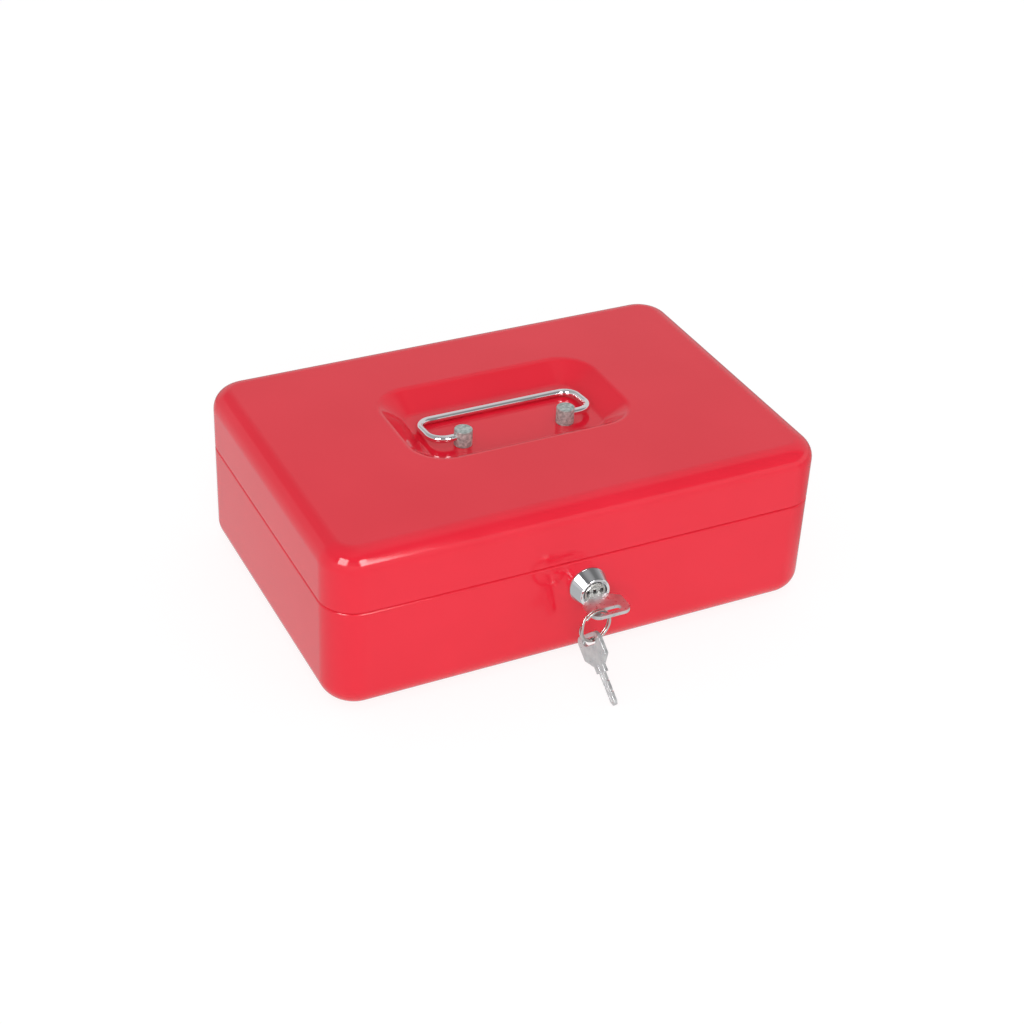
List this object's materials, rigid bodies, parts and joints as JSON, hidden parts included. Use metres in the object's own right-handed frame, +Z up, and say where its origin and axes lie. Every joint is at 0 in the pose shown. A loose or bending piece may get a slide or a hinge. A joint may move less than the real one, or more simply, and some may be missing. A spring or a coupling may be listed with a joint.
{
  "type": "cash box",
  "caption": "Lockable steel cash box with a recessed bail handle, a cam lock with keys on a split ring, rear hinges and a lift-out coin tray.",
  "frame": {"origin": "centre of the flat underside of the base, on the table", "axes": "+X to the right along the length, -Y to the front (lock side), +Z up out of the lid"},
  "size_m": [0.25, 0.216, 0.084],
  "materials": {
    "red_enamel": "high-gloss red baked enamel on drawn steel",
    "chrome": "bright chrome plate",
    "post_zinc": "turned, dull zinc plate",
    "zinc_steel": "clear zinc plated steel",
    "plug_nickel": "nickel plated die casting",
    "key_nickel": "bright nickel plate, fine rolling lines",
    "ring_steel": "nickel plated spring wire",
    "spring_steel": "bare spring wire",
    "brass": "stamped, bare",
    "tray_plastic": "moulded dark grey plastic, fine grain"
  },
  "bodies": {
    "base": {"base_shell": "red_enamel", "hinge_leaf_base_left": "red_enamel", "hinge_leaf_base_right": "red_enamel", "hinge_pin_left": "zinc_steel", "hinge_pin_right": "zinc_steel", "lock_body": "chrome", "lock_washer": "zinc_steel", "lock_nut": "zinc_steel"},
    "lid": {"lid_shell": "red_enamel", "lid_catch": "zinc_steel", "hinge_leaf_lid_left": "red_enamel", "hinge_leaf_lid_right": "red_enamel", "handle_post_left": "post_zinc", "handle_post_right": "post_zinc", "post_washers": "zinc_steel"},
    "bail": {"bail_handle": "chrome"},
    "plug": {"lock_plug": "plug_nickel", "lock_cam": "zinc_steel", "cam_washer": "zinc_steel", "cam_screw": "zinc_steel", "wafers": "brass", "wafer_springs": "spring_steel"},
    "key": {"key": "key_nickel"},
    "ring": {"key_ring": "ring_steel"},
    "spare": {"spare_key": "key_nickel"},
    "tray": {"coin_tray": "tray_plastic"}
  },
  "joints": [
    {"name": "lid_hinge", "type": "hinge", "parent": "base", "child": "lid", "pos_m": [0, 0.08705, 0.054], "axis": [-1, 0, 0], "range_deg": [0, 105]},
    {"name": "bail_fold", "type": "hinge", "parent": "lid", "child": "bail", "pos_m": [0, -0.0044, 0.08], "axis": [1, 0, 0], "range_deg": [0, 168]},
    {"name": "lock_turn", "type": "hinge", "parent": "base", "child": "plug", "pos_m": [0, -0.084, 0.0392], "axis": [0, 1, 0], "range_deg": [0, 90]},
    {"name": "key_withdraw", "type": "slide", "parent": "plug", "child": "key", "axis": [0, -1, 0], "range_m": [0, 0.028]},
    {"name": "ring_swing", "type": "hinge", "parent": "key", "child": "ring", "pos_m": [-0.00214, -0.1061, 0.0392], "axis": [0.9877, 0.1564, 0], "range_deg": [-18, 12]},
    {"name": "spare_key_swing", "type": "hinge", "parent": "ring", "child": "spare", "pos_m": [-0.0077, -0.10698, 0.026], "axis": [0.9877, 0.1564, 0], "range_deg": [-25, 50]},
    {"name": "tray_lift", "type": "slide", "parent": "base", "child": "tray", "axis": [0, 0, 1], "range_m": [0, 0.0065]}
  ]
}
